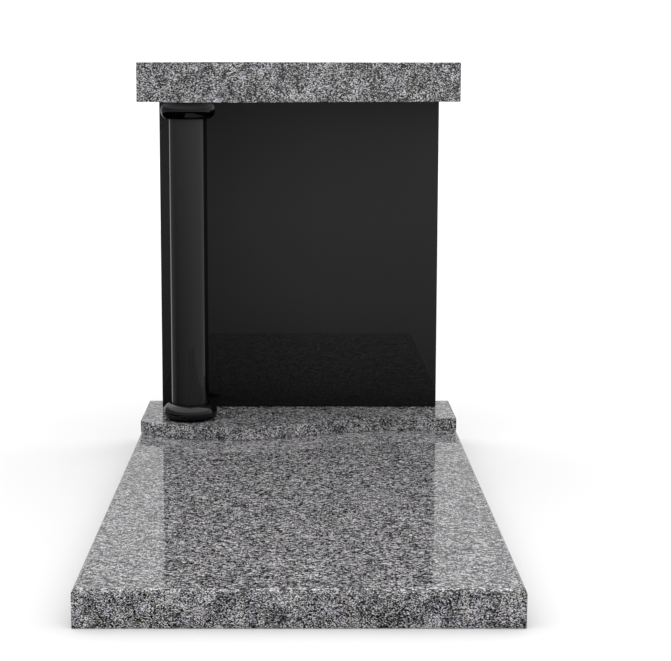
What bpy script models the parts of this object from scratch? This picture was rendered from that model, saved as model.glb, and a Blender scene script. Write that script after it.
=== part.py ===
"""Grave monument of polished granite: a ledger slab with a base, a headstone, a column and a cap at its head.

Lengths are in metres and +Z is up. The front of the monument faces -Y. The origin is on the ground, in the
middle of the ledger's underside.
"""

import math

import bmesh
import bpy
from mathutils import Matrix, Vector
from mathutils.geometry import interpolate_bezier

# Every stone that rests on another keeps this gap to it
JOINT_GAP = 0.0003

# The arris taken off the edges of the base, headstone and cap
ARRIS = 0.0015

# Ledger: the slab that covers the grave, with its front and side top edges rounded over
LEDGER_WIDTH = 0.90
LEDGER_LENGTH = 1.80
LEDGER_THICKNESS = 0.08
LEDGER_ROUNDING = 0.010
LEDGER_ROUNDING_STEPS = 6

# Base and cap: two slabs cut to one plan, with a wave in the front edge
WAVED_SIDE_MARGIN = 0.002
WAVED_STRAIGHT_DEPTH = 0.270
WAVED_LEFT_DEPTH = 0.300
BASE_THICKNESS = 0.035
CAP_THICKNESS = 0.108

# The wave swells out of the straight front, passes its crest right of the column and falls to the left end
CREST_PAST_RING = 0.057
CREST_RIGHT_OF_COLUMN = 0.133
CREST_REACH = 0.130
STRAIGHT_FRONT_LENGTH = 0.168
STRAIGHT_FRONT_REACH = 0.150
LEFT_END_REACH = 0.090
LEFT_END_ANGLE = math.radians(45)
WAVE_RISE_POINTS = 14
WAVE_FALL_POINTS = 20

# Headstone: the upright slab between base and cap
HEADSTONE_SIDE_MARGIN = 0.046
HEADSTONE_BACK_MARGIN = 0.0175
HEADSTONE_THICKNESS = 0.080
HEADSTONE_HEIGHT = 0.893

# Column: one turned shaft in front of the headstone, with a half-round ring at each end
SHAFT_RADIUS = 0.0525
SHAFT_TO_HEADSTONE = 0.122
COLUMN_FROM_HEADSTONE_EDGE = 0.0935
RING_HEIGHT = 0.047
RING_STEPS = 12
COLUMN_SIDES = 64

# Heights of the joints, from the ground up
BASE_BOTTOM = LEDGER_THICKNESS + JOINT_GAP
BASE_TOP = BASE_BOTTOM + BASE_THICKNESS
HEADSTONE_BOTTOM = BASE_TOP + JOINT_GAP
HEADSTONE_TOP = HEADSTONE_BOTTOM + HEADSTONE_HEIGHT
CAP_BOTTOM = HEADSTONE_TOP + JOINT_GAP

# Places in plan
LEDGER_BACK = LEDGER_LENGTH / 2
WAVED_HALF_WIDTH = LEDGER_WIDTH / 2 - WAVED_SIDE_MARGIN
HEADSTONE_HALF_WIDTH = WAVED_HALF_WIDTH - HEADSTONE_SIDE_MARGIN
HEADSTONE_BACK = LEDGER_BACK - HEADSTONE_BACK_MARGIN
HEADSTONE_FRONT = HEADSTONE_BACK - HEADSTONE_THICKNESS
RING_RADIUS = SHAFT_RADIUS + RING_HEIGHT / 2
COLUMN_X = -HEADSTONE_HALF_WIDTH + COLUMN_FROM_HEADSTONE_EDGE
COLUMN_Y = HEADSTONE_FRONT - SHAFT_TO_HEADSTONE - SHAFT_RADIUS

# Merge distance for points that meet
WELD_DISTANCE = 0.00005


def clear_scene():
    for old in list(bpy.data.objects):
        bpy.data.objects.remove(old, do_unlink=True)


def new_collection(name):
    collection = bpy.data.collections.new(name)
    bpy.context.scene.collection.children.link(collection)
    return collection


def stone(name, colour, roughness):
    """A polished stone: a plain Principled surface in the stone's mean colour."""
    material = bpy.data.materials.new(name)
    material.use_nodes = True
    shader = material.node_tree.nodes["Principled BSDF"]
    shader.inputs["Base Color"].default_value = (*colour, 1.0)
    shader.inputs["Roughness"].default_value = roughness
    shader.inputs["Metallic"].default_value = 0.0
    material.diffuse_color = (*colour, 1.0)
    return material


def move_to(piece, collection):
    for old in list(piece.users_collection):
        old.objects.unlink(piece)
    collection.objects.link(piece)


def box(name, low, high, collection, material):
    """A sawn block between two opposite corners, with its origin at the middle of its underside."""
    bpy.ops.mesh.primitive_cube_add(size=1.0)
    piece = bpy.context.active_object
    piece.name = name
    piece.data.name = name
    size = Vector(high) - Vector(low)
    piece.data.transform(Matrix.Translation((0.0, 0.0, 0.5)))
    piece.data.transform(Matrix.Diagonal((*size, 1.0)))
    piece.location = ((low[0] + high[0]) / 2, (low[1] + high[1]) / 2, low[2])
    piece.data.materials.append(material)
    move_to(piece, collection)
    return piece


def take_off_arrises(piece):
    """Bevels every sharp edge of a sawn stone by the arris."""
    bevel = piece.modifiers.new("arris", "BEVEL")
    bevel.width = ARRIS
    bevel.segments = 1
    bevel.limit_method = "ANGLE"
    bevel.angle_limit = math.radians(40)


def make_ledger(collection, grey):
    half = LEDGER_WIDTH / 2
    low = (-half, -LEDGER_BACK, 0.0)
    high = (half, LEDGER_BACK, LEDGER_THICKNESS)
    ledger = box("ledger", low, high, collection, grey)
    weights = ledger.data.attributes.new("bevel_weight_edge", "FLOAT", "EDGE")
    for edge in ledger.data.edges:
        ends = [ledger.data.vertices[index].co for index in edge.vertices]
        on_top = all(end.z > LEDGER_THICKNESS / 2 for end in ends)
        at_the_back = all(end.y > 0 for end in ends)
        weights.data[edge.index].value = 1.0 if on_top and not at_the_back else 0.0
    rounding = ledger.modifiers.new("rounded top edges", "BEVEL")
    rounding.width = LEDGER_ROUNDING
    rounding.segments = LEDGER_ROUNDING_STEPS
    rounding.limit_method = "WEIGHT"
    return ledger


def wave_front():
    """The waved front edge from the left end to where it runs straight, as points in plan."""
    left = Vector((-WAVED_HALF_WIDTH, LEDGER_BACK - WAVED_LEFT_DEPTH, 0.0))
    crest_depth = LEDGER_BACK - COLUMN_Y + RING_RADIUS + CREST_PAST_RING
    crest = Vector((COLUMN_X + CREST_RIGHT_OF_COLUMN, LEDGER_BACK - crest_depth, 0.0))
    straight_start = WAVED_HALF_WIDTH - STRAIGHT_FRONT_LENGTH
    straight = Vector((straight_start, LEDGER_BACK - WAVED_STRAIGHT_DEPTH, 0.0))
    outwards = Vector((math.cos(LEFT_END_ANGLE), -math.sin(LEFT_END_ANGLE), 0.0))
    sideways = Vector((1.0, 0.0, 0.0))
    rise = interpolate_bezier(
        left,
        left + outwards * LEFT_END_REACH,
        crest - sideways * CREST_REACH,
        crest,
        WAVE_RISE_POINTS,
    )
    fall = interpolate_bezier(
        crest,
        crest + sideways * CREST_REACH,
        straight - sideways * STRAIGHT_FRONT_REACH,
        straight,
        WAVE_FALL_POINTS,
    )
    return rise + fall[1:]


def make_waved_slab(name, bottom, thickness, collection, grey):
    """One slab of the shared waved plan, standing on its own bottom height."""
    outline = wave_front()
    outline.append(Vector((WAVED_HALF_WIDTH, LEDGER_BACK - WAVED_STRAIGHT_DEPTH, 0.0)))
    outline.append(Vector((WAVED_HALF_WIDTH, LEDGER_BACK, 0.0)))
    outline.append(Vector((-WAVED_HALF_WIDTH, LEDGER_BACK, 0.0)))
    plan = bpy.data.curves.new(name + " plan", "CURVE")
    plan.dimensions = "2D"
    plan.fill_mode = "BOTH"
    plan.extrude = thickness / 2
    spline = plan.splines.new("POLY")
    spline.points.add(len(outline) - 1)
    for point, place in zip(spline.points, outline):
        point.co = (place.x, place.y, 0.0, 1.0)
    spline.use_cyclic_u = True
    drawn = bpy.data.objects.new(name + " plan", plan)
    collection.objects.link(drawn)
    drawn.location.z = bottom + thickness / 2
    slab = as_welded_mesh(drawn, name, collection)
    slab.data.materials.append(grey)
    take_off_arrises(slab)
    return slab


def as_welded_mesh(drawn, name, collection):
    """Turns a filled curve into a mesh piece whose caps are joined to its walls and are single faces."""
    bpy.context.view_layer.update()
    evaluated = drawn.evaluated_get(bpy.context.evaluated_depsgraph_get())
    mesh = bpy.data.meshes.new_from_object(evaluated)
    mesh.name = name
    shape = bmesh.new()
    shape.from_mesh(mesh)
    bmesh.ops.remove_doubles(shape, verts=shape.verts, dist=WELD_DISTANCE)
    bmesh.ops.dissolve_limit(shape, angle_limit=math.radians(0.1), verts=shape.verts, edges=shape.edges)
    bmesh.ops.recalc_face_normals(shape, faces=shape.faces)
    shape.to_mesh(mesh)
    shape.free()
    piece = bpy.data.objects.new(name, mesh)
    collection.objects.link(piece)
    piece.matrix_world = drawn.matrix_world
    bpy.data.objects.remove(drawn, do_unlink=True)
    return piece


def make_headstone(collection, black):
    low = (-HEADSTONE_HALF_WIDTH, HEADSTONE_FRONT, HEADSTONE_BOTTOM)
    high = (HEADSTONE_HALF_WIDTH, HEADSTONE_BACK, HEADSTONE_TOP)
    headstone = box("headstone", low, high, collection, black)
    take_off_arrises(headstone)
    return headstone


def ring_profile(middle_height):
    """A half circle that stands out from the shaft, from its top end to its bottom end."""
    radius = RING_HEIGHT / 2
    turns = [math.pi / 2 - math.pi * step / RING_STEPS for step in range(RING_STEPS + 1)]
    return [
        (SHAFT_RADIUS + radius * math.cos(turn), middle_height + radius * math.sin(turn)) for turn in turns
    ]


def make_column(collection, black):
    profile = [(0.0, HEADSTONE_HEIGHT)]
    profile += ring_profile(HEADSTONE_HEIGHT - RING_HEIGHT / 2)
    profile += ring_profile(RING_HEIGHT / 2)
    profile.append((0.0, 0.0))
    mesh = bpy.data.meshes.new("column")
    line = bmesh.new()
    points = [line.verts.new((radius, 0.0, height)) for radius, height in profile]
    for upper, lower in zip(points, points[1:]):
        line.edges.new((upper, lower))
    line.to_mesh(mesh)
    line.free()
    column = bpy.data.objects.new("column", mesh)
    collection.objects.link(column)
    column.location = (COLUMN_X, COLUMN_Y, HEADSTONE_BOTTOM)
    turning = column.modifiers.new("turned", "SCREW")
    turning.axis = "Z"
    turning.angle = math.tau
    turning.steps = COLUMN_SIDES
    turning.render_steps = COLUMN_SIDES
    turning.use_merge_vertices = True
    turning.merge_threshold = WELD_DISTANCE
    turning.use_smooth_shade = True
    mesh.materials.append(black)
    return column


def main():
    clear_scene()
    monument = new_collection("grave monument")
    grey = stone("grey granite", (0.15, 0.15, 0.155), 0.12)
    black = stone("black granite", (0.012, 0.012, 0.012), 0.04)
    make_ledger(monument, grey)
    make_waved_slab("base", BASE_BOTTOM, BASE_THICKNESS, monument, grey)
    make_headstone(monument, black)
    make_column(monument, black)
    make_waved_slab("cap", CAP_BOTTOM, CAP_THICKNESS, monument, grey)


main()
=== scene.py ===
import math

import bmesh
import bpy
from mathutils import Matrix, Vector
from mathutils.geometry import interpolate_bezier


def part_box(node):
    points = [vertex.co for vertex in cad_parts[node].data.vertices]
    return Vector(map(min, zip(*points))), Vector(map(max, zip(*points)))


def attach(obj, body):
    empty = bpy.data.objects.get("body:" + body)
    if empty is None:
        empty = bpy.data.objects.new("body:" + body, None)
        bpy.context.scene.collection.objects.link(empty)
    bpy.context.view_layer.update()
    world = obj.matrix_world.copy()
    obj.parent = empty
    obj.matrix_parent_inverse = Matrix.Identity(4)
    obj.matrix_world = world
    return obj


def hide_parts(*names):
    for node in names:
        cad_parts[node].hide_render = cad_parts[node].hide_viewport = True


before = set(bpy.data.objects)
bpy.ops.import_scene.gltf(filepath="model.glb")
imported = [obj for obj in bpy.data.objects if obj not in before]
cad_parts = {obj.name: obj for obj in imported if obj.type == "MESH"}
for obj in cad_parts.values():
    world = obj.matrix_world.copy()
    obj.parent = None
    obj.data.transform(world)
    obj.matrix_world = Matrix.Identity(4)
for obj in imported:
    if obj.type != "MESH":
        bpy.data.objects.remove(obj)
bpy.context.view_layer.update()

# The studio: a round sheet of white board under a wide white dome, as a mason's catalogue shows a monument.
# The dome alone lights the board, which goes to plain white and darkens softly against the stones. Polished
# stone mirrors the dome and not the board: grey near the horizon, bright overhead, and black further down.
WHITE = (1.0, 1.0, 1.0, 1.0)
BOARD_RADIUS = 8.0
BOARD_STEPS = 128
BOARD_BELOW_GROUND = 0.0005
BOARD_WHITE = (0.85, 0.85, 0.85, 1.0)
BACKDROP_STRENGTH = 1.25
HORIZON_IN_FRONT = 0.78
HORIZON_RIGHT_OVER_LEFT = 0.15
HORIZON_BEHIND = 0.62
HORIZON_LEFT_BEHIND = 0.18
DIMMER_BELOW = 2.0
DIMMER_ABOVE = 0.25
OVERHEAD = 1.44

# Where each part of the dome starts and ends, as the X, Y or Z of the way that a ray goes
BEHIND = (0.80, 0.95)
TO_THE_LEFT = (-0.75, -0.55)
LEFT_FRONT_TO_BEHIND = (-0.7, 0.9)
IN_FRONT = (-0.3, 0.5)
DIMMED_BAND = (0.0, 0.12)
UP_TO_OVERHEAD = (0.27, 0.60)
BLACK_TO_HORIZON = (-0.225, -0.185)


def add(tree, kind, sockets=None, **properties):
    """Adds a node, sets its properties, and fills its sockets with plain values or links."""
    made = tree.nodes.new("ShaderNode" + kind)
    for name, value in properties.items():
        setattr(made, name, value)
    for name, value in (sockets or {}).items():
        if isinstance(value, bpy.types.NodeSocket):
            tree.links.new(value, made.inputs[name])
        else:
            made.inputs[name].default_value = value
    return made


def calculate(tree, operation, first, second=0.0):
    """The result of one step of arithmetic."""
    return add(tree, "Math", {0: first, 1: second}, operation=operation).outputs[0]


def blend(tree, share, first, second):
    """Goes from the first value to the second as the share goes from 0 to 1."""
    return add(tree, "Mix", {0: share, 2: first, 3: second}).outputs[0]


def ease(tree, value, start, end, low=0.0, high=1.0):
    """Goes smoothly from low to high as the value goes from start to end."""
    limits = {"Value": value, "From Min": start, "From Max": end, "To Min": low, "To Max": high}
    return add(tree, "MapRange", limits, interpolation_type="SMOOTHSTEP").outputs["Result"]


def light_the_studio():
    """Hangs the dome, whose strength depends on the way a ray goes, and a plain backdrop for the camera."""
    world = bpy.data.worlds.new("white dome")
    world.use_nodes = True
    tree = world.node_tree
    tree.nodes.clear()
    way = add(tree, "SeparateXYZ", {"Vector": add(tree, "TexCoord").outputs["Generated"]}).outputs
    sideways = calculate(tree, "MULTIPLY", way["X"], HORIZON_RIGHT_OVER_LEFT)
    ahead = calculate(tree, "ADD", sideways, HORIZON_IN_FRONT)
    around = blend(tree, ease(tree, way["Y"], *BEHIND), ahead, HORIZON_BEHIND)
    to_the_left = ease(tree, way["X"], *TO_THE_LEFT, 1.0, 0.0)
    left_behind = calculate(tree, "MULTIPLY", to_the_left, ease(tree, way["Y"], *LEFT_FRONT_TO_BEHIND))
    horizon = blend(tree, left_behind, around, HORIZON_LEFT_BEHIND)
    depth = calculate(tree, "MINIMUM", way["Z"], 0.0)
    less_below = calculate(tree, "MULTIPLY", depth, DIMMER_BELOW)
    less_above = ease(tree, way["Z"], *DIMMED_BAND, 0.0, DIMMER_ABOVE)
    less = calculate(tree, "SUBTRACT", less_below, less_above)
    in_front = ease(tree, way["Y"], *IN_FRONT, 1.0, 0.0)
    dimmed = calculate(tree, "ADD", horizon, calculate(tree, "MULTIPLY", less, in_front))
    dome = blend(tree, ease(tree, way["Z"], *UP_TO_OVERHEAD), dimmed, OVERHEAD)
    strength = calculate(tree, "MULTIPLY", dome, ease(tree, way["Z"], *BLACK_TO_HORIZON))
    lit = add(tree, "Background", {"Color": WHITE, "Strength": strength})
    backdrop = add(tree, "Background", {"Color": WHITE, "Strength": BACKDROP_STRENGTH})
    seen = add(tree, "LightPath").outputs["Is Camera Ray"]
    both = add(tree, "MixShader", {0: seen, 1: lit.outputs[0], 2: backdrop.outputs[0]})
    add(tree, "OutputWorld", {"Surface": both.outputs[0]})
    bpy.context.scene.world = world


def lay_the_board():
    """Lays the board under the monument, out of sight of the polish."""
    shape = bmesh.new()
    bmesh.ops.create_circle(shape, cap_ends=True, radius=BOARD_RADIUS, segments=BOARD_STEPS)
    bmesh.ops.translate(shape, verts=shape.verts, vec=(0.0, 0.0, -BOARD_BELOW_GROUND))
    mesh = bpy.data.meshes.new("white board")
    shape.to_mesh(mesh)
    shape.free()
    board = bpy.data.objects.new("white board", mesh)
    bpy.context.scene.collection.objects.link(board)
    finish = bpy.data.materials.new("white board")
    finish.use_nodes = True
    tree = finish.node_tree
    tree.nodes.clear()
    plain = add(tree, "BsdfDiffuse", {"Color": BOARD_WHITE})
    add(tree, "OutputMaterial", {"Surface": plain.outputs[0]})
    mesh.materials.append(finish)
    board.visible_glossy = False


light_the_studio()
lay_the_board()
bpy.context.scene.view_settings.view_transform = "Standard"

# The camera: a long lens at the height of the cap, looking down along the middle of the grave.
# Its picture is 671 pixels wide, and the monument stands left of the middle of it.
PICTURE_WIDTH = 671
FOCAL_LENGTH_PX = 1715
MIDDLE_OF_VIEW_X = 298.6
MIDDLE_OF_PICTURE_X = 335.0
MIDDLE_OF_VIEW_Y = 329.7
MIDDLE_OF_PICTURE_Y = 330.0
SENSOR_WIDTH = 36.0
CAMERA_IN_FRONT = 4.164
CAMERA_HEIGHT = 1.0796
LOOKING_DOWN = math.radians(8.43)
NEAREST_SEEN = 0.05
FARTHEST_SEEN = 100.0
lens = bpy.data.cameras.new("camera")
lens.sensor_width = SENSOR_WIDTH
lens.lens = SENSOR_WIDTH * FOCAL_LENGTH_PX / PICTURE_WIDTH
lens.shift_x = (MIDDLE_OF_PICTURE_X - MIDDLE_OF_VIEW_X) / PICTURE_WIDTH
lens.shift_y = (MIDDLE_OF_VIEW_Y - MIDDLE_OF_PICTURE_Y) / PICTURE_WIDTH
lens.clip_start = NEAREST_SEEN
lens.clip_end = FARTHEST_SEEN
camera = bpy.data.objects.new("camera", lens)
camera.location = (0.0, -CAMERA_IN_FRONT, CAMERA_HEIGHT)
camera.rotation_euler = (math.pi / 2 - LOOKING_DOWN, 0.0, 0.0)
bpy.context.scene.collection.objects.link(camera)
bpy.context.scene.camera = camera

# Ledger: one slab of speckled grey granite that covers the grave and carries everything else. It is sawn and
# polished to a mirror, its front and side top edges are rounded over, and its other edges lose a fine arris.
# Dark mica, grey quartz and whitish feldspar make the grain, which is drawn out into slivers along the bed.
LEDGER_ROUNDING = 0.010
LEDGER_ROUNDING_STEPS = 12
LEDGER_ARRIS = 0.0012
LEDGER_ARRIS_STEPS = 2
SHARP_EDGE = math.radians(60)
CREASE = math.radians(35)

# The crystals: how close they lie along X, Y and Z, and how they are mixed and tinted
CRYSTALS_ALONG_EACH_AXIS = (0.80, 0.50, 1.20)
CRYSTAL_WANDER = 0.8
SMALL_TO_ONE_LARGE = 2.2
LARGE_SHARE = 0.75
SLIVERS_PER_METRE = (168.0, 430.0, 450.0)
SLIVERS_PALER_BY = 0.10
CLOUDS_PER_METRE = 28.0
HUES_PER_METRE = 45.0
VIOLET_TO_OLIVE = (0.35, 0.65)
VIOLET = (1.0, 0.975, 1.055, 1.0)
OLIVE = (1.015, 1.0, 0.99, 1.0)
NOISE_MIDDLE = 0.5

# The grey granite: each mineral's tone and how pale it is, its polish, and how fronts and tops differ
GREY_MINERALS = ((0.32, 0.006), (0.53, 0.016), (0.60, 0.085), (0.66, 0.40), (0.75, 0.62), (0.90, 0.85))
GREY_TONES = (0.2, 0.8)
GREY_POLISH = (0.035, 0.018)
GREY_RELIEF = 0.02
GREY_RELIEF_DEPTH = 0.0002
FRONT_TO_TOP = (0.3, 0.9)
SLIVERS_ON_FRONT_AND_TOP = (0.12, 0.50)
CLOUDING_ON_FRONT_AND_TOP = (0.50, 0.20)


def blend_colours(tree, share, first, second, how="MIX"):
    """Blends two colours, for which the Mix node has sockets of their own."""
    sockets = {0: share, 6: first, 7: second}
    return add(tree, "Mix", sockets, data_type="RGBA", blend_type=how).outputs[2]


def granite_crystals():
    """Node group: the crystals of a granite, as their tone, their tint and a relief."""
    tree = bpy.data.node_groups.new("granite crystals", "ShaderNodeTree")
    sockets = tree.interface
    sockets.new_socket("Vector", in_out="INPUT", socket_type="NodeSocketVector")
    sockets.new_socket("Crystals per Metre", in_out="INPUT", socket_type="NodeSocketFloat")
    sockets.new_socket("Slivers", in_out="INPUT", socket_type="NodeSocketFloat")
    sockets.new_socket("Clouding", in_out="INPUT", socket_type="NodeSocketFloat")
    sockets.new_socket("Tone", in_out="OUTPUT", socket_type="NodeSocketFloat")
    sockets.new_socket("Tint", in_out="OUTPUT", socket_type="NodeSocketColor")
    sockets.new_socket("Relief", in_out="OUTPUT", socket_type="NodeSocketFloat")
    given = tree.nodes.new("NodeGroupInput").outputs
    place = given["Vector"]
    fineness = given["Crystals per Metre"]

    squeezed = {0: place, 1: CRYSTALS_ALONG_EACH_AXIS}
    drawn_out = add(tree, "VectorMath", squeezed, operation="MULTIPLY").outputs[0]
    wander = add(tree, "TexNoise", {"Vector": drawn_out, "Scale": fineness, "Detail": 2.0}).outputs["Color"]
    about_nought = {0: wander, 1: (NOISE_MIDDLE, NOISE_MIDDLE, NOISE_MIDDLE)}
    centred = add(tree, "VectorMath", about_nought, operation="SUBTRACT").outputs[0]
    reach = calculate(tree, "DIVIDE", CRYSTAL_WANDER, fineness)
    bent = add(tree, "VectorMath", {0: centred, "Scale": reach}, operation="SCALE").outputs[0]
    warped = add(tree, "VectorMath", {0: drawn_out, 1: bent}, operation="ADD").outputs[0]

    large = add(tree, "TexVoronoi", {"Vector": warped, "Scale": fineness}).outputs
    finer = calculate(tree, "MULTIPLY", fineness, SMALL_TO_ONE_LARGE)
    small = add(tree, "TexVoronoi", {"Vector": warped, "Scale": finer}).outputs
    large_tone = add(tree, "SeparateColor", {0: large["Color"]}).outputs["Red"]
    small_tone = add(tree, "SeparateColor", {0: small["Color"]}).outputs["Green"]
    from_large = calculate(tree, "MULTIPLY", large_tone, LARGE_SHARE)
    from_small = calculate(tree, "MULTIPLY", small_tone, 1.0 - LARGE_SHARE)
    grain = calculate(tree, "ADD", from_large, from_small)

    lengths = add(tree, "VectorMath", {0: place, 1: SLIVERS_PER_METRE}, operation="MULTIPLY").outputs[0]
    slivers = add(tree, "TexVoronoi", {"Vector": lengths, "Scale": 1.0}).outputs["Color"]
    sliver_tone = add(tree, "SeparateColor", {0: slivers}).outputs["Red"]
    mixed = blend(tree, given["Slivers"], grain, sliver_tone)
    paler = calculate(tree, "MULTIPLY", given["Slivers"], SLIVERS_PALER_BY)

    clouds = add(tree, "TexNoise", {"Vector": place, "Scale": CLOUDS_PER_METRE, "Detail": 3.0}).outputs["Fac"]
    lighter_or_darker = calculate(tree, "SUBTRACT", clouds, NOISE_MIDDLE)
    cloud = calculate(tree, "MULTIPLY", lighter_or_darker, given["Clouding"])
    tone = calculate(tree, "ADD", calculate(tree, "ADD", mixed, paler), cloud)

    hue = add(tree, "TexNoise", {"Vector": place, "Scale": HUES_PER_METRE, "Detail": 2.0}).outputs["Fac"]
    tint = blend_colours(tree, ease(tree, hue, *VIOLET_TO_OLIVE), VIOLET, OLIVE)

    out = tree.nodes.new("NodeGroupOutput").inputs
    tree.links.new(tone, out["Tone"])
    tree.links.new(tint, out["Tint"])
    tree.links.new(small["Distance"], out["Relief"])
    return tree


crystals = granite_crystals()


def cut_from_quarry(name, turn, offset, crystal_size):
    """A new material, and the grain in it, which has its own place in the quarry's pattern."""
    finish = bpy.data.materials.new(name)
    finish.use_nodes = True
    tree = finish.node_tree
    place = add(tree, "TexCoord").outputs["Object"]
    cut = {"Vector": place, "Location": offset, "Rotation": (0.0, 0.0, turn)}
    grain = tree.nodes.new("ShaderNodeGroup")
    grain.node_tree = crystals
    tree.links.new(add(tree, "Mapping", cut).outputs[0], grain.inputs["Vector"])
    grain.inputs["Crystals per Metre"].default_value = 1.0 / crystal_size
    return finish, grain


def mineral_colours(tree, tone, minerals):
    """The colour of the stone, from the darkest mineral to the palest as the tone rises."""
    ramp = add(tree, "ValToRGB", {"Fac": tone})
    stops = ramp.color_ramp.elements
    while len(stops) < len(minerals):
        stops.new(0.5)
    for stop, (where, level) in zip(stops, minerals):
        stop.position = where
        stop.color = (level, level, level, 1.0)
    return ramp.outputs["Color"]


def grey_granite(name, turn, offset, crystal_size, paleness):
    """The polished grey granite of one block, with more slivers on its tops than on its fronts."""
    finish, grain = cut_from_quarry(name, turn, offset, crystal_size)
    tree = finish.node_tree
    shader = tree.nodes["Principled BSDF"]
    facing = add(tree, "SeparateXYZ", {0: add(tree, "TexCoord").outputs["Normal"]}).outputs["Z"]
    along_the_bed = calculate(tree, "ABSOLUTE", facing)
    slivers = ease(tree, along_the_bed, *FRONT_TO_TOP, *SLIVERS_ON_FRONT_AND_TOP)
    tree.links.new(slivers, grain.inputs["Slivers"])
    clouding = ease(tree, along_the_bed, *FRONT_TO_TOP, *CLOUDING_ON_FRONT_AND_TOP)
    tree.links.new(clouding, grain.inputs["Clouding"])
    minerals = [(tone, level * paleness) for tone, level in GREY_MINERALS]
    speckled = mineral_colours(tree, grain.outputs["Tone"], minerals)
    tinted = blend_colours(tree, 1.0, speckled, grain.outputs["Tint"], "MULTIPLY")
    tree.links.new(tinted, shader.inputs["Base Color"])
    polish = ease(tree, grain.outputs["Tone"], *GREY_TONES, *GREY_POLISH)
    tree.links.new(polish, shader.inputs["Roughness"])
    pits = {"Height": grain.outputs["Relief"], "Strength": GREY_RELIEF, "Distance": GREY_RELIEF_DEPTH}
    tree.links.new(add(tree, "Bump", pits).outputs[0], shader.inputs["Normal"])
    return finish


def block(low, high):
    """A sawn block between two corners."""
    shape = bmesh.new()
    bmesh.ops.create_cube(shape, size=1.0)
    bmesh.ops.scale(shape, vec=high - low, verts=shape.verts)
    bmesh.ops.translate(shape, vec=(low + high) / 2, verts=shape.verts)
    return shape


def take_off_arrises(shape, width, steps):
    """Bevels every sharp edge of a sawn stone."""
    sharp = [edge for edge in shape.edges if edge.calc_face_angle(0.0) > SHARP_EDGE]
    bmesh.ops.bevel(
        shape, geom=sharp, offset=width, segments=steps, profile=0.5, affect="EDGES", material=-1
    )


def set_stone(shape, name, node, finish):
    """Makes the shape a stone of the monument in the place of its CAD node."""
    mesh = bpy.data.meshes.new(name)
    shape.to_mesh(mesh)
    shape.free()
    mesh.shade_smooth()
    mesh.set_sharp_from_angle(angle=CREASE)
    mesh.materials.append(finish)
    piece = bpy.data.objects.new(name, mesh)
    bpy.context.scene.collection.objects.link(piece)
    flat_faces_stay_flat = piece.modifiers.new("flat faces stay flat", "WEIGHTED_NORMAL")
    flat_faces_stay_flat.keep_sharp = True
    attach(piece, "root")
    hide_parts(node)
    return piece


low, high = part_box("ledger")
middle = (low + high) / 2
shape = block(low, high)
rounded = []
for edge in shape.edges:
    ends = [corner.co for corner in edge.verts]
    on_top = min(end.z for end in ends) > middle.z
    at_the_back = min(end.y for end in ends) > middle.y
    if on_top and not at_the_back:
        rounded.append(edge)
bmesh.ops.bevel(
    shape,
    geom=rounded,
    offset=LEDGER_ROUNDING,
    segments=LEDGER_ROUNDING_STEPS,
    profile=0.5,
    affect="EDGES",
    material=-1,
)
take_off_arrises(shape, LEDGER_ARRIS, LEDGER_ARRIS_STEPS)
# Where arris and rounding meet, the bevel can put a corner a hair outside the block
for corner in shape.verts:
    for axis in range(3):
        corner.co[axis] = min(max(corner.co[axis], low[axis]), high[axis])
ledger_granite = grey_granite(
    "ledger granite", turn=math.radians(2), offset=(3.1, 1.7, 0.4), crystal_size=0.0014, paleness=1.0
)
set_stone(shape, "ledger_slab", "ledger", ledger_granite)

# Base: a thin slab of the same granite, bedded on the back end of the ledger, that carries headstone and
# column. Its front edge is straight on the right and swells forward in one wave under the column. The edge is
# sawn to a template, ground and polished, and every edge loses a fine arris.
WAVED_ARRIS = 0.0015
WAVED_ARRIS_STEPS = 3
STRAIGHT_DEPTH = 0.270
STRAIGHT_LENGTH = 0.168
LEFT_DEPTH = 0.300
LEFT_ANGLE = math.radians(45)
CREST_FROM_LEFT = 0.2725

# How far the curve holds its direction at the left end, on either side of the crest and at the straight part
LEFT_REACH = 0.090
CREST_REACH = 0.130
STRAIGHT_REACH = 0.150
RISE_POINTS = 40
FALL_POINTS = 56


def waved_slab(low, high):
    """A slab with the wave in its front edge, which touches the front of its box at the crest."""
    left = Vector((low.x, high.y - LEFT_DEPTH, low.z))
    crest = Vector((low.x + CREST_FROM_LEFT, low.y, low.z))
    straight = Vector((high.x - STRAIGHT_LENGTH, high.y - STRAIGHT_DEPTH, low.z))
    outwards = Vector((math.cos(LEFT_ANGLE), -math.sin(LEFT_ANGLE), 0.0)) * LEFT_REACH
    along = Vector((1.0, 0.0, 0.0))
    rise = interpolate_bezier(left, left + outwards, crest - along * CREST_REACH, crest, RISE_POINTS)
    fall = interpolate_bezier(
        crest, crest + along * CREST_REACH, straight - along * STRAIGHT_REACH, straight, FALL_POINTS
    )
    corners = [(high.x, high.y - STRAIGHT_DEPTH, low.z), (high.x, high.y, low.z), (low.x, high.y, low.z)]
    shape = bmesh.new()
    outline = [shape.verts.new(place) for place in rise + fall[1:] + corners]
    plan = shape.faces.new(outline)
    raised = bmesh.ops.extrude_face_region(shape, geom=[plan])["geom"]
    tops = [item for item in raised if isinstance(item, bmesh.types.BMVert)]
    bmesh.ops.translate(shape, verts=tops, vec=(0.0, 0.0, high.z - low.z))
    bmesh.ops.recalc_face_normals(shape, faces=shape.faces)
    take_off_arrises(shape, WAVED_ARRIS, WAVED_ARRIS_STEPS)
    return shape


base_granite = grey_granite(
    "base granite", turn=math.radians(-3), offset=(7.9, 0.3, 2.2), crystal_size=0.0018, paleness=1.03
)
set_stone(waved_slab(*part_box("base")), "waved_base", "base", base_granite)

# Headstone: one upright slab of black granite, sawn square and polished all round until it mirrors the grave.
# It stands on the base in a thin bed of mortar, with the cap across its top edge.
HEADSTONE_ARRIS = 0.0015
HEADSTONE_ARRIS_STEPS = 3
# Painted shade: how far the ambient occlusion looks that weakens the headstone's mirror coat under the cap
# and beside the column
PAINTED_SHADE_REACH_UNDER_CAP = 0.35

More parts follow.
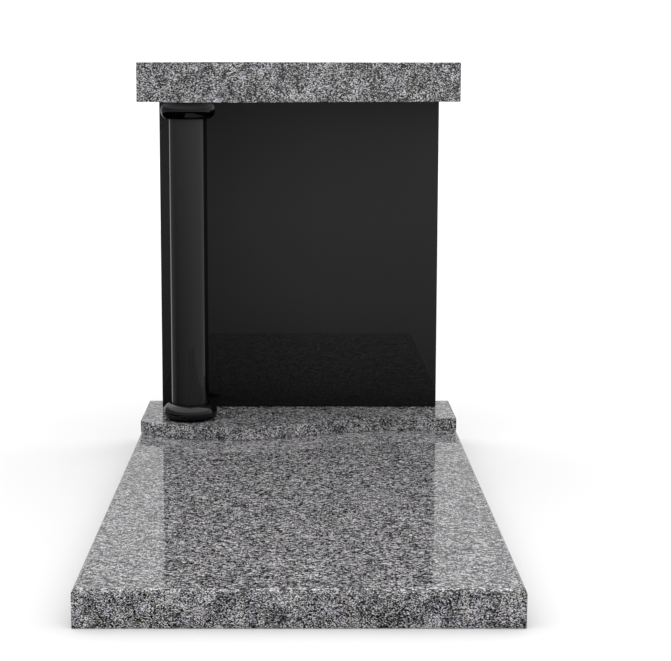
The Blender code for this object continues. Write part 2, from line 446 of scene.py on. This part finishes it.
# The black granite: each mineral's tone and how pale it is, then its polish
BLACK_MINERALS = ((0.10, 0.0003), (0.60, 0.0010), (0.84, 0.002), (0.93, 0.006))
BLACK_CRYSTALS = 0.0011
BLACK_SLIVERS = 0.1
BLACK_CLOUDING = 0.10
BLACK_TONES = (0.2, 0.9)
BLACK_HAZE = (0.25, 0.35)
BLACK_POLISH = 0.010
# Rays for the ambient occlusion that paints shade into the black granite's mirror coat
PAINTED_SHADE_RAYS = 16


def black_granite(name, offset, painted_shade_reach):
    """The polished black granite, nearly black with paler flecks, with painted shade in its mirror: ambient
    occlusion weakens the coat where nearby stone hides the sky.
    """
    finish, grain = cut_from_quarry(name, turn=0.0, offset=offset, crystal_size=BLACK_CRYSTALS)
    tree = finish.node_tree
    shader = tree.nodes["Principled BSDF"]
    grain.inputs["Slivers"].default_value = BLACK_SLIVERS
    grain.inputs["Clouding"].default_value = BLACK_CLOUDING
    flecked = mineral_colours(tree, grain.outputs["Tone"], BLACK_MINERALS)
    tree.links.new(flecked, shader.inputs["Base Color"])
    haze = ease(tree, grain.outputs["Tone"], *BLACK_TONES, *BLACK_HAZE)
    tree.links.new(haze, shader.inputs["Roughness"])
    shader.inputs["Specular IOR Level"].default_value = 0.0
    shader.inputs["Coat Roughness"].default_value = BLACK_POLISH
    # Painted shade: ambient occlusion sets the coat's weight, so the mirror is dimmer where nearby stone
    # hides the sky, such as under the cap and beside the column
    mirror_with_painted_shade = add(tree, "AmbientOcclusion", {"Distance": painted_shade_reach}, samples=PAINTED_SHADE_RAYS).outputs["AO"]
    tree.links.new(mirror_with_painted_shade, shader.inputs["Coat Weight"])
    return finish


shape = block(*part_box("headstone"))
take_off_arrises(shape, HEADSTONE_ARRIS, HEADSTONE_ARRIS_STEPS)
headstone_granite = black_granite("headstone granite", offset=(1.3, 4.4, 0.9), painted_shade_reach=PAINTED_SHADE_REACH_UNDER_CAP)
set_stone(shape, "upright_headstone", "headstone", headstone_granite)

# Column: one piece of the black granite, turned and polished on a lathe, with a half-round ring at each end.
# It is dowelled between base and cap, in front of the headstone's left side.
RING_HEIGHT = 0.047
RING_STEPS = 24
COLUMN_STEPS = 192
SAME_CORNER = 0.00002
# Painted shade: how far the ambient occlusion looks that weakens the column's mirror coat in the hollows of
# its rings
PAINTED_SHADE_REACH_IN_RING = 0.08


def drawn_on(shape, corner, across, up):
    """Carries the profile on from a corner, and gives its new end."""
    end = bmesh.ops.extrude_vert_indiv(shape, verts=[corner])["verts"][0]
    bmesh.ops.translate(shape, verts=[end], vec=(across, 0.0, up))
    return end


def half_round(shape, corner):
    """Carries the profile on round a ring, out from the shaft and back to it."""
    middle = corner.co + Vector((0.0, 0.0, RING_HEIGHT / 2))
    turned = bmesh.ops.spin(
        shape, geom=[corner], cent=middle, axis=(0.0, -1.0, 0.0), angle=math.pi, steps=RING_STEPS
    )
    return turned["geom_last"][0]


def turned_column(low, high):
    """Draws the profile of shaft and rings from the foot up, and turns it once round the column's axis."""
    shaft_radius = (high.x - low.x) / 2 - RING_HEIGHT / 2
    shape = bmesh.new()
    foot = shape.verts.new((0.0, 0.0, low.z))
    profile_end = drawn_on(shape, foot, shaft_radius, 0.0)
    profile_end = half_round(shape, profile_end)
    profile_end = drawn_on(shape, profile_end, 0.0, high.z - low.z - 2 * RING_HEIGHT)
    profile_end = half_round(shape, profile_end)
    drawn_on(shape, profile_end, -shaft_radius, 0.0)
    profile = shape.verts[:] + shape.edges[:]
    bmesh.ops.spin(
        shape, geom=profile, axis=(0.0, 0.0, 1.0), angle=math.tau, steps=COLUMN_STEPS, use_merge=True
    )
    bmesh.ops.remove_doubles(shape, verts=shape.verts, dist=SAME_CORNER)
    bmesh.ops.recalc_face_normals(shape, faces=shape.faces)
    middle = (low + high) / 2
    bmesh.ops.translate(shape, verts=shape.verts, vec=(middle.x, middle.y, 0.0))
    return shape


def leave_out_of_headstone(finish):
    """Keeps the column out of the headstone's polish, whose mirror rays all meet the column's back."""
    tree = finish.node_tree
    stone = tree.nodes["Principled BSDF"].outputs[0]
    facing = add(tree, "SeparateXYZ", {0: add(tree, "NewGeometry").outputs["Normal"]}).outputs["Y"]
    faces_back = calculate(tree, "GREATER_THAN", facing, 0.0)
    clear = add(tree, "BsdfTransparent").outputs[0]
    in_mirrors = add(tree, "MixShader", {0: faces_back, 1: stone, 2: clear}).outputs[0]
    reflected = add(tree, "LightPath").outputs["Is Glossy Ray"]
    seen = add(tree, "MixShader", {0: reflected, 1: stone, 2: in_mirrors}).outputs[0]
    tree.links.new(seen, tree.nodes["Material Output"].inputs["Surface"])


column_granite = black_granite("column granite", offset=(5.2, 0.6, 3.8), painted_shade_reach=PAINTED_SHADE_REACH_IN_RING)
leave_out_of_headstone(column_granite)
set_stone(turned_column(*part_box("column")), "turned_column", "column", column_granite)

# Cap: a thick slab of the grey granite, cut to the same template as the base, that lies across the headstone
# and the column and ties them together.
cap_granite = grey_granite(
    "cap granite", turn=math.radians(4), offset=(0.7, 9.1, 5.6), crystal_size=0.0020, paleness=0.97
)
cap = set_stone(waved_slab(*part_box("cap")), "waved_cap", "cap", cap_granite)
# The column's upper ring mirrors the dome, and not the cap's dark underside
cap.visible_glossy = False
